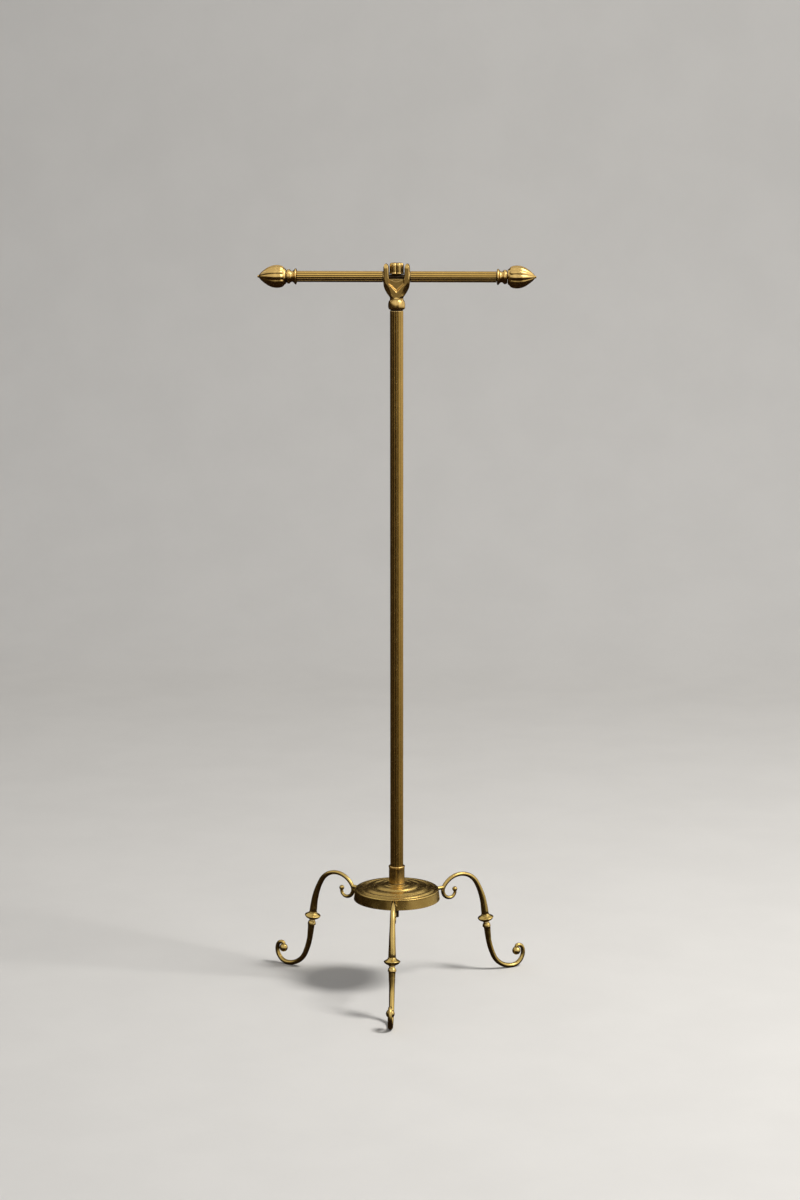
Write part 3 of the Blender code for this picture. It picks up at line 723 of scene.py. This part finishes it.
def top_plug_mesh():
    """Plug with a flange over the column's end and a spigot up into the yoke, bored for the screw."""
    bottom, top = low("column_top_plug").z, high("column_top_plug").z
    flange, shoulder = high("column_tube").z + GAP, low("yoke").z - GAP
    inside = half_width("column_tube") - 0.0020
    bore_end = bottom + 0.003
    profile = [
        (SCREW_BORE, bore_end), (SCREW_BORE, top), (0.0060, top, 0.0005), (0.0060, shoulder),
        (0.0090, shoulder, 0.0002), (0.0090, flange, 0.0002), (inside, flange),
        (inside, bottom, 0.0006), (TINY, bottom), (TINY, bore_end),
    ]
    return turned("column_top_plug", softened(profile, True), 64, True)


def build_column():
    bottom, top = low("column_tube").z, high("column_tube").z
    tube = reeded_tube("column_tube", half_width("column_tube"), 16, bottom, top, 0.0078)
    add("column_tube", tube, DRAWN, "stand", matrix=ON_AXIS)
    add("column_top_plug", top_plug_mesh(), STEEL, "stand", ON_AXIS)


# ---- Yoke. Its own frame has its origin on the crossbar's axis.

EAR_OUTER, EAR_INNER, EAR_TOP = 0.0186, 0.0113, 0.0185
YOKE_DEPTH = 0.0090


def yoke_outline():
    """Points (x, z, chamfer) round the front: neck, flaring arms, ears, and the trough between the ears."""
    arm = flowing([
        (0.0092, -0.0335, 0.0), (0.0094, -0.0300, 0.0022), (0.0113, -0.0268, 0.0044),
        (0.0140, -0.0228, 0.0060), (0.0164, -0.0185, 0.0064), (0.0180, -0.0140, 0.0056),
        (0.0186, -0.0095, 0.0036), (EAR_OUTER, -0.0030, 0.0018),
    ])
    ear = flowing([
        (EAR_OUTER, 0.0110, 0.0016), (0.0182, 0.0150, 0.0014), (0.0169, 0.0177, 0.0010),
        (0.0151, EAR_TOP, 0.0008), (0.0132, 0.0174, 0.0010), (0.0119, 0.0150, 0.0014),
        (EAR_INNER, 0.0115, 0.0016),
    ], 4)
    trough = [(x, z, 0.0009) for x, z in arc((0, 0.0085), 0.0150, -44, -90, 14)]
    return arm + ear + [(EAR_INNER, 0.0010, 0.0010)] + trough


def chamfered_prism(name, half, depth):
    """Prism along Y of a mirrored half outline, its front and back edges cut back by each point's chamfer."""
    outline = half + [(-x, z, c) for x, z, c in reversed(half) if x > GAP]
    flat = [Vector((x, z)) for x, z, _ in outline]
    steepness = 0.7  # how far back a chamfer runs, for its width across
    rings = [[], [], [], []]
    for i, (x, z, cut) in enumerate(outline):
        along = (flat[(i + 1) % len(flat)] - flat[i - 1]).normalized()
        inward = Vector((-along.y, along.x))
        inset = flat[i] + inward * cut
        rings[0].append((inset.x, -depth, inset.y))
        rings[1].append((x, -depth + steepness * cut, z))
        rings[2].append((x, depth - steepness * cut, z))
        rings[3].append((inset.x, depth, inset.y))
    return skin(name, rings)


def slab(name, outline, depth, along):
    """Outline in XZ pushed along Y, or in YZ pushed along X, by depth to each side."""
    place = (lambda u, v, w: (u, w, v)) if along == "Y" else (lambda u, v, w: (w, u, v))
    return skin(name, [[place(u, v, w) for u, v in outline] for w in (-depth, depth)])


def yoke_body():
    """Yoke's outline, rounded across its depth by a solid of revolution and by a side outline."""
    body = shaped("yoke", chamfered_prism("yoke", yoke_outline(), YOKE_DEPTH))
    rounding = flowing([
        (0.0094, -0.0335), (0.0095, -0.0315), (0.0101, -0.0296), (0.0138, -0.0242), (0.0175, -0.0185),
        (0.0208, -0.0100), (0.0310, 0.0000),
    ])
    envelope = [(TINY, -0.0350), (0.0094, -0.0350), *rounding, (0.0310, 0.030), (TINY, 0.030)]
    bend = 0.0072
    corner = arc((YOKE_DEPTH - bend, EAR_TOP + 0.0007 - bend), bend, 0, 90, 12)
    half = [(YOKE_DEPTH + 0.001, -0.036), (YOKE_DEPTH + 0.0002, -0.010)] + corner
    side = half + [(-y, z) for y, z in reversed(half)]
    tools = [(turned("envelope", envelope, 72), UNMOVED), (slab("side", side, 0.03, "X"), UNMOVED)]
    return boolean(body, tools, "INTERSECT")


def yoke_recesses():
    """V-shaped sunk panel at the front and at the back, its walls sloping outwards."""
    panel = [(0.0100, 0.0060), (0.0100, -0.0092), (0.0, -0.0186), (-0.0100, -0.0092), (-0.0100, 0.0060)]
    wider, taller, centre = 1.16, 1.36, -0.005
    tools = []
    for sign in (-1, 1):
        floor = [(x, sign * (YOKE_DEPTH - 0.0030), z) for x, z in panel]
        mouth = [(x * wider, sign * (YOKE_DEPTH + 0.0010), (z - centre) * taller + centre) for x, z in panel]
        tools.append((skin("recess", [floor, mouth]), UNMOVED))
    return tools


def yoke_additions():
    """Ball-shaped ferrule, saddle under the core rod, and a bead round each crossbar tube's end."""
    ferrule_low = low("yoke").z - BAR.z
    radius = (high("yoke").y - low("yoke").y) / 2
    ball = flowing([
        (0.0098, -0.0316), (0.0096, -0.0326), (0.0104, -0.0336), (0.0114, -0.0352), (0.0120, -0.0378),
        (radius, -0.0408), (0.0120, -0.0436), (0.0114, -0.0455), (0.0106, ferrule_low),
    ])
    ferrule = [(TINY, -0.0280), (0.0086, -0.0280), *ball, (TINY, ferrule_low)]
    bead = softened([
        (TINY, 0.0150), (0.0059, 0.0150), (0.0080, 0.0180), (0.0083, EAR_OUTER + 0.0004, 0.0004),
        (0.0078, EAR_OUTER + 0.0010, 0.0004), (0.0059, EAR_OUTER + 0.0010), (0.0059, EAR_OUTER + 0.0040),
        (TINY, EAR_OUTER + 0.0040),
    ])
    half, bottom, top = EAR_INNER + 0.0006, -0.0100, -0.0030
    saddle = [(half, bottom), (half, top), (-half, top), (-half, bottom)]
    tools = [(turned("ferrule", ferrule, 96), UNMOVED), (slab("saddle", saddle, 0.0030, "Y"), UNMOVED)]
    return tools + [(turned("bead", bead, 64), facing((hand, 0, 0))) for hand in HANDS.values()]


def yoke_bores():
    """Bore for the core rod, and the stepped one for the screw and the top plug's spigot."""
    spigot, step, end = 0.0063, -0.0307, -0.0500
    upright = [
        (TINY, 0.004), (SCREW_BORE, 0.004), (SCREW_BORE, step), (spigot, step), (spigot, end), (TINY, end),
    ]
    return [
        (turned("rod_bore", [(CORE_BORE, -0.030), (CORE_BORE, 0.030)], 48), facing((1, 0, 0))),
        (turned("upright_bore", upright, 64), UNMOVED),
    ]


def yoke_mesh():
    """The yoke as one casting, its edges softened by a fine remesh."""
    mesh = yoke_body()
    for tools, operation in (
        (yoke_recesses(), "DIFFERENCE"), (yoke_additions(), "UNION"), (yoke_bores(), "DIFFERENCE"),
    ):
        mesh = boolean(shaped("yoke", mesh), tools, operation)
    body = shaped("yoke", mesh)
    remesh = body.modifiers.new("Cast", "REMESH")
    remesh.mode = "VOXEL"
    remesh.voxel_size = 0.00028
    smooth = body.modifiers.new("Fettled", "SMOOTH")
    smooth.factor = 0.5
    smooth.iterations = 4
    bpy.context.view_layer.update()
    return baked("yoke", body, 180)


# ---- Thumb screw. Heights are above the crossbar's axis.

KNOB_LOBES = 6
LOBE_RADIUS = 0.0041
KNOB_STEPS = KNOB_LOBES * 24
KNOB_BOTTOM = 0.0037
SHOULDER = 0.0152
BODY_SCALE = 0.930


def knob_ring(scale, height, reach):
    """Section of the knob: round lobes on a circle, with a valley towards the front between two of them."""
    centre = reach - LOBE_RADIUS
    ring = []
    for i in range(KNOB_STEPS):
        angle = TAU * i / KNOB_STEPS
        off = (angle + math.pi / KNOB_LOBES) % (TAU / KNOB_LOBES) - math.pi / KNOB_LOBES
        out = centre * math.cos(off) + math.sqrt(LOBE_RADIUS ** 2 - (centre * math.sin(off)) ** 2)
        ring.append((scale * out * math.cos(angle), scale * out * math.sin(angle), height))
    return ring


def lobe_dome(x, y, reach):
    """How high, from 0 to 1, the separate domes of the lobes and of the middle stand above the shoulder."""
    centre = reach - LOBE_RADIUS
    angles = [TAU * k / KNOB_LOBES for k in range(KNOB_LOBES)]
    domes = [(centre * math.cos(a), centre * math.sin(a), LOBE_RADIUS) for a in angles] + [(0.0, 0.0, 0.0062)]
    squareness = 2.4
    tallest = 0.0
    for place_x, place_y, radius in domes:
        away = math.hypot(x - place_x, y - place_y) / radius
        if away < 1:
            tallest = max(tallest, (1 - away ** squareness) ** (1 / squareness))
    return tallest


def thumb_screw_mesh():
    """Plain shank, a recess for the washer under the knob, and the fluted knob with a dome on each lobe."""
    reach = half_width("thumb_screw") - 0.00005
    tip, top = low("thumb_screw").z - BAR.z, high("thumb_screw").z - BAR.z
    shank, recess = 0.0020, 0.0068
    seat = KNOB_BOTTOM + 0.0016
    outline = [
        (0.0014, tip), (shank, tip + 0.0006), (shank, seat), (recess - 0.0002, seat),
        (recess, seat - 0.0002), (recess, KNOB_BOTTOM),
    ]
    rings = [circle(radius, height, KNOB_STEPS) for radius, height in outline]
    sections = flowing([
        (0.84, KNOB_BOTTOM), (0.96, KNOB_BOTTOM + 0.0003), (1.0, KNOB_BOTTOM + 0.0010),
        (0.985, KNOB_BOTTOM + 0.0018), (0.935, KNOB_BOTTOM + 0.0024), (0.930, KNOB_BOTTOM + 0.0036),
        (0.935, 0.0110), (BODY_SCALE, SHOULDER),
    ], 4)
    rings += [knob_ring(scale, height, reach) for scale, height in sections]
    dome_rings = 26
    for k in range(1, dome_rings + 1):
        share = math.cos(k / dome_rings * math.pi / 2)
        ring = []
        for x, y, _ in knob_ring(max(share, 0.01), 0.0, reach):
            height = SHOULDER + (top - SHOULDER) * lobe_dome(x, y, reach) - 0.00001
            ring.append((BODY_SCALE * x, BODY_SCALE * y, height))
        rings.append(ring)
    return skin("thumb_screw", rings, sharp=60)


# ---- Crossbar


def finial_collar_mesh():
    """Spigot, flange, waist and ring. Z points away from the column, 0 at the flange's inner face."""
    spigot, inner, end = 0.0059, -0.0040, 0.0150
    profile = [
        (CORE_BORE, inner), (spigot, inner, 0.0004), (spigot, 0), (0.0096, 0, 0.0004),
        (0.0113, 0.0006, 0.0008), (0.0115, 0.0018, 0.0008), (0.0107, 0.0030, 0.0008),
        (0.0090, 0.0040, 0.0010), (0.0078, 0.0058, 0.0012), (0.0076, 0.0072, 0.0010),
        (0.0084, 0.0086, 0.0008), (0.0089, 0.0092, 0.0004), (0.0100, 0.0098, 0.0008),
        (0.0103, 0.0114, 0.0012), (0.0100, 0.0132, 0.0010), (0.0092, 0.0141, 0.0005),
        (0.0086, 0.0146, 0.0003), (0.0090, end), (CORE_BORE, end),
    ]
    return turned("finial_collar", softened(profile, True), 96, looped=True, sharp=45)


def bud_mesh(length, petals=12, per_petal=16):
    """Gadrooned bud on a blind bore: a smooth core with round-ended petals laid on it, and a small button."""
    core = [
        (0.0092, 0.0000), (0.0104, 0.0003), (0.0110, 0.0010), (0.0115, 0.0018), (0.0126, 0.0034),
        (0.0136, 0.0056), (0.0143, 0.0090), (0.0146, 0.0130), (0.0143, 0.0170), (0.0134, 0.0213),
        (0.0119, 0.0252), (0.0098, 0.0290), (0.0078, 0.0320), (0.0057, 0.0348), (0.0039, 0.0370),
        (0.0024, 0.0384), (0.0018, 0.0390), (0.0019, 0.0396), (0.0020, 0.0401),
        (0.0015, length - 0.0003), (0.0006, length),
    ]
    rise = [
        (0.0018, 0), (0.0040, 0.0012), (0.0080, 0.0016), (0.0130, 0.0017), (0.0190, 0.0016),
        (0.0250, 0.0013), (0.0310, 0.0009), (0.0350, 0.0006), (0.0380, 0.0),
    ]
    petal_base, petal_end, roll = 0.0020, 0.0036, 0.0026
    bulge, flank = 1.04, 0.93
    bore_depth = 0.0158
    steps = petals * per_petal
    rings = [circle(CORE_BORE, bore_depth, steps), circle(CORE_BORE, 0.0003, steps)]
    rings.append(circle(CORE_BORE + 0.0003, 0.0, steps))
    for radius, height in flowing(core, 5):
        ring = []
        for i in range(steps):
            angle = TAU * (i + 0.5) / steps
            across = abs(math.sin(petals * angle / 2))
            start = petal_base + petal_end * (1 - math.sqrt(max(0.0, 1 - across ** 2)))
            shown = math.sin(min(1.0, max(0.0, (height - start) / roll)) * math.pi / 2)
            round_top = bulge * math.sqrt(1 - (flank * across) ** 2) - (bulge - 1)
            reach = radius + eased(rise, height) * round_top * shown
            ring.append((reach * math.cos(angle), reach * math.sin(angle), height))
        rings.append(ring)
    return skin("finial_bud", rings, sharp=60)


def core_rod_mesh():
    """Rod along Z with a hole across it along Y, which lies upright once the rod lies along the crossbar."""
    half, chamfer = half_width("core_rod"), 0.0005
    profile = [(TINY, -half), (CORE_RADIUS, -half, chamfer), (CORE_RADIUS, half, chamfer), (TINY, half)]
    rod = shaped("core_rod", turned("core_rod", softened(profile), 64))
    hole = turned("hole", [(SCREW_BORE, -0.01), (SCREW_BORE, 0.01)], 32)
    return boolean(rod, [(hole, facing((0, 1, 0)))], "DIFFERENCE")


def build_head():
    add("yoke", yoke_mesh(), CAST, "head", matrix=ON_BAR)
    add("core_rod", core_rod_mesh(), STEEL, "head", ON_BAR @ facing((1, 0, 0)))
    add("thumb_screw", thumb_screw_mesh(), CAST, "clamp_screw", matrix=ON_BAR)
    washer = plain_ring("thumb_washer", SCREW_BORE, 0.0003, BAR.z)
    add("thumb_washer", washer, STEEL, "clamp_washer", ON_BAR)

    near, far = low("bar_tube_right").x, high("bar_tube_right").x
    radius = (high("bar_tube_right").z - low("bar_tube_right").z) / 2
    bud_base, bud_tip = low("finial_bud_right").x, high("finial_bud_right").x
    tube = reeded_tube("bar_tube", radius, 14, near, far, 0.0062)
    collar, bud = finial_collar_mesh(), bud_mesh(bud_tip - bud_base)
    for hand, sign in HANDS.items():
        outwards = ON_BAR @ facing((sign, 0, 0))
        on_flange, on_collar = outwards @ at(0, 0, far + GAP), outwards @ at(0, 0, bud_base)
        add(f"bar_tube_{hand}", tube, DRAWN, "head", matrix=outwards)
        add(f"finial_collar_{hand}", collar, TURNED, f"end_collar_{hand}", matrix=on_flange)
        add(f"finial_bud_{hand}", bud, CAST, f"end_bud_{hand}", matrix=on_collar)


# ---- Studio


def studio_material(name, colour, roughness):
    """Plain painted sweep with a faint mottle, clear when looked at from behind or below."""
    n = Nodes(name)
    mottle = n.spread(n.noise(6, detail=5), 0.3, 0.7)
    n.link(n.mix(mottle, colour, tuple(c * 0.97 for c in colour)), n.shader.inputs["Base Color"])
    n.shader.inputs["Roughness"].default_value = roughness
    n.shader.inputs["Specular IOR Level"].default_value = 0.2
    bump = n.add("Bump", Strength=0.15, Distance=0.0004)
    n.link(n.noise(700, detail=3), bump.inputs["Height"])
    n.link(bump.outputs["Normal"], n.shader.inputs["Normal"])
    blend = n.add("MixShader")
    n.link(n.add("NewGeometry").outputs["Backfacing"], blend.inputs["Fac"])
    n.link(n.shader.outputs[0], blend.inputs[1])
    n.link(n.add("BsdfTransparent").outputs[0], blend.inputs[2])
    n.link(blend.outputs[0], n.tree.nodes["Material Output"].inputs["Surface"])
    return n.material


def build_sweep():
    """Pale floor that curves up into a pale wall behind the stand. The metal mirrors the world instead."""
    near, start, radius, top, half = -6.0, 2.2, 1.2, 6.0, 6.0
    path = [(near, 0.0), (start, 0.0)]
    path += [(y, z) for y, z in arc((start, radius), radius, -90, 0, 24)][1:]
    path.append((start + radius, top))
    vertices = [(x, y, z) for y, z in path for x in (-half, half)]
    faces = [(2 * i, 2 * i + 1, 2 * i + 3, 2 * i + 2) for i in range(len(path) - 1)]
    mesh = bpy.data.meshes.new("sweep")
    mesh.from_pydata(vertices, [], faces)
    mesh.shade_smooth()
    sweep = shaped("sweep", mesh)
    sweep.visible_glossy = False
    mesh.materials.append(studio_material("sweep", (0.70, 0.69, 0.67), 0.7))


KEY_TURN, KEY_RISE = math.radians(-20), math.radians(52)
KEY_DIRECTION = Vector((
    math.cos(KEY_TURN) * math.cos(KEY_RISE), math.sin(KEY_TURN) * math.cos(KEY_RISE), math.sin(KEY_RISE)))


def build_key():
    """Soft key from the right and a little to the front, which the metal doesn't mirror."""
    target, distance = AXIS + Vector((0, 0, 0.55)), 3.2
    light = bpy.data.lights.new("key", "AREA")
    light.shape = "RECTANGLE"
    light.size, light.size_y = 0.8, 1.0
    light.energy = 112
    light.color = (1.0, 0.98, 0.95)
    key = shaped("key", light)
    key.location = target + distance * KEY_DIRECTION
    key.rotation_euler = (target - key.location).to_track_quat("-Z", "Y").to_euler()
    key.visible_glossy = False


def build_world():
    """Even pale light for everything, and a separate surrounding that only the metal mirrors.

    The metal sees beige above and at the right, a soft round key, a dim strip a little left of the front, a
    faint glow at the front and at the far left, and dark brown elsewhere. X, Y and Z are those of the scene.
    """
    pale, brown = (0.33, 0.33, 0.335), (0.024, 0.014, 0.009)
    dim_beige, bright_beige = (0.98, 0.80, 0.42), (0.98, 0.91, 0.78)
    key_edge, key_core, key_strength = math.cos(math.radians(20)), math.cos(math.radians(6)), 6.5
    world = bpy.data.worlds.new("studio")
    bpy.context.scene.world = world
    world.use_nodes = True
    world.cycles.sampling_method = "NONE"
    n = Tree(world.node_tree)
    place = n.add("TexCoord")
    axes = n.add("SeparateXYZ")
    n.link(place.outputs["Generated"], axes.inputs[0])
    x, y, z = axes.outputs
    above_floor = n.spread(z, -0.38, -0.04)
    above = n.spread(n.math("SUBTRACT", z, n.math("MULTIPLY", y, 0.30)), 0.185, 0.47, 0, 0.94)
    right = n.math("MULTIPLY", n.spread(x, 0.38, 0.72), above_floor)
    front = n.math("MULTIPLY", n.spread(y, -0.50, -0.95, 0, 0.045), n.spread(z, -0.60, -0.15))
    left = n.math("MULTIPLY", n.spread(x, -0.70, -0.88, 0, 0.03), n.spread(x, -0.995, -0.95))
    strip = n.math("MULTIPLY", n.spread(x, -0.36, -0.24, 0, 0.22), n.spread(x, -0.02, -0.14))
    strip = n.math("MULTIPLY", strip, n.math("MULTIPLY", n.spread(y, 0, -0.40), above_floor))
    toward_key = n.add("VectorMath", operation="DOT_PRODUCT")
    n.link(place.outputs["Generated"], toward_key.inputs[0])
    toward_key.inputs[1].default_value = KEY_DIRECTION
    glow = above
    key = n.spread(toward_key.outputs["Value"], key_edge, key_core, 0, key_strength)
    for part in (right, front, left, strip, key):
        glow = n.math("ADD", glow, part)
    level = n.math("MINIMUM", glow, 1.0)
    mirrored = n.mix(level, brown, n.mix(level, dim_beige, bright_beige))
    in_metal = n.add("LightPath").outputs["Is Glossy Ray"]
    background = n.tree.nodes["Background"]
    n.link(n.mix(in_metal, pale, mirrored), background.inputs["Color"])
    n.link(n.math("MAXIMUM", n.math("MULTIPLY", glow, in_metal), 1.0), background.inputs["Strength"])


def build_camera():
    """Long lens about 4 m away and a little above the crossbar, turned slightly to the right of square."""
    turn, tilt = math.radians(2.5), 0.1755
    distance, height, aside = 3.96, 1.284, 0.00475
    back = Vector((math.sin(turn), -math.cos(turn), 0))
    right = Vector((math.cos(turn), math.sin(turn), 0))
    data = bpy.data.cameras.new("camera")
    data.lens = 83.26
    data.clip_end = 100
    camera = shaped("camera", data)
    camera.location = AXIS + back * distance + right * aside + Vector((0, 0, height))
    camera.rotation_euler = (math.pi / 2 - tilt, 0, turn)
    bpy.context.scene.camera = camera


build_base()
build_legs()
build_column()
build_head()
build_sweep()
build_key()
build_world()
build_camera()
bpy.context.scene.view_settings.view_transform = "Standard"
